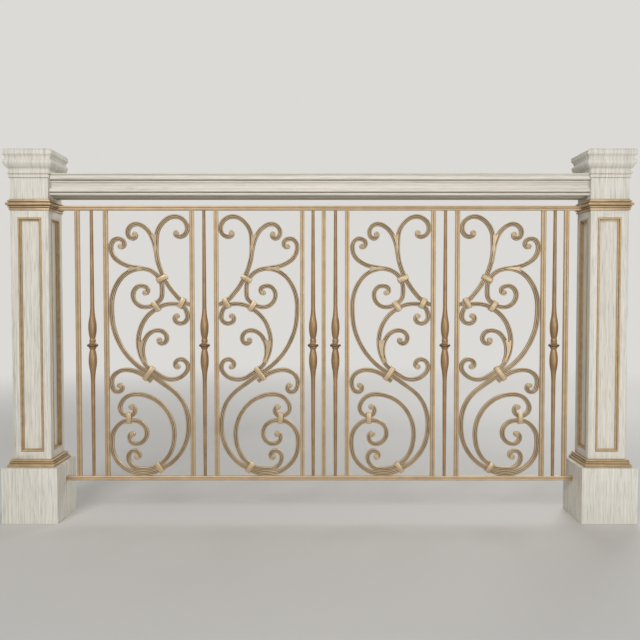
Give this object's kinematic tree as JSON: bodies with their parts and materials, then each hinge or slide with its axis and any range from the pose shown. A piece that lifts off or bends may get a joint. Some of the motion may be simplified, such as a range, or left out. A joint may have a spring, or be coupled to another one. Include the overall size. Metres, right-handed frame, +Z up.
{
  "type": "railing with two panelled posts",
  "caption": "Straight railing: two panelled wooden posts and a moulded handrail, with forged scroll panels, square bars and turned balusters between them.",
  "frame": {"origin": "on the ground, midway between the two posts and at the middle of their depth", "axes": "+X along the handrail to the viewer's right, +Y to the back, +Z up"},
  "size_m": [1.7, 0.15, 1],
  "materials": {
    "whitewashed_oak": "whitewashed oak with open grain, matt",
    "gilt_trim": "wood moulding with an aged gold paint, satin",
    "bronze_iron": "wrought iron with an antique bronze patina paint, satin"
  },
  "bodies": {
    "root": {"bottom_rail": "bronze_iron", "handrail": "whitewashed_oak", "handrail_under_strip": "whitewashed_oak", "left_base_moulding": "gilt_trim", "left_cap": "whitewashed_oak", "left_head_block": "whitewashed_oak", "left_neck_moulding": "gilt_trim", "left_panel_beads": "gilt_trim", "left_plinth": "whitewashed_oak", "left_shaft": "whitewashed_oak", "panel_1_crown_scroll": "bronze_iron", "panel_1_inner_scroll": "bronze_iron", "panel_1_main_scroll": "bronze_iron", "panel_1_side_scroll": "bronze_iron", "panel_1_stem_scroll": "bronze_iron", "panel_2_crown_scroll": "bronze_iron", "panel_2_inner_scroll": "bronze_iron", "panel_2_main_scroll": "bronze_iron", "panel_2_side_scroll": "bronze_iron", "panel_2_stem_scroll": "bronze_iron", "panel_3_crown_scroll": "bronze_iron", "panel_3_inner_scroll": "bronze_iron", "panel_3_main_scroll": "bronze_iron", "panel_3_side_scroll": "bronze_iron", "panel_3_stem_scroll": "bronze_iron", "panel_4_crown_scroll": "bronze_iron", "panel_4_inner_scroll": "bronze_iron", "panel_4_main_scroll": "bronze_iron", "panel_4_side_scroll": "bronze_iron", "panel_4_stem_scroll": "bronze_iron", "right_base_moulding": "gilt_trim", "right_cap": "whitewashed_oak", "right_head_block": "whitewashed_oak", "right_neck_moulding": "gilt_trim", "right_panel_beads": "gilt_trim", "right_plinth": "whitewashed_oak", "right_shaft": "whitewashed_oak", "scroll_collars": "bronze_iron", "square_bars_1": "bronze_iron", "square_bars_2": "bronze_iron", "square_bars_3": "bronze_iron", "square_bars_4": "bronze_iron", "square_bars_5": "bronze_iron", "top_rail": "bronze_iron", "turned_balusters": "bronze_iron"}
  },
  "joints": []
}
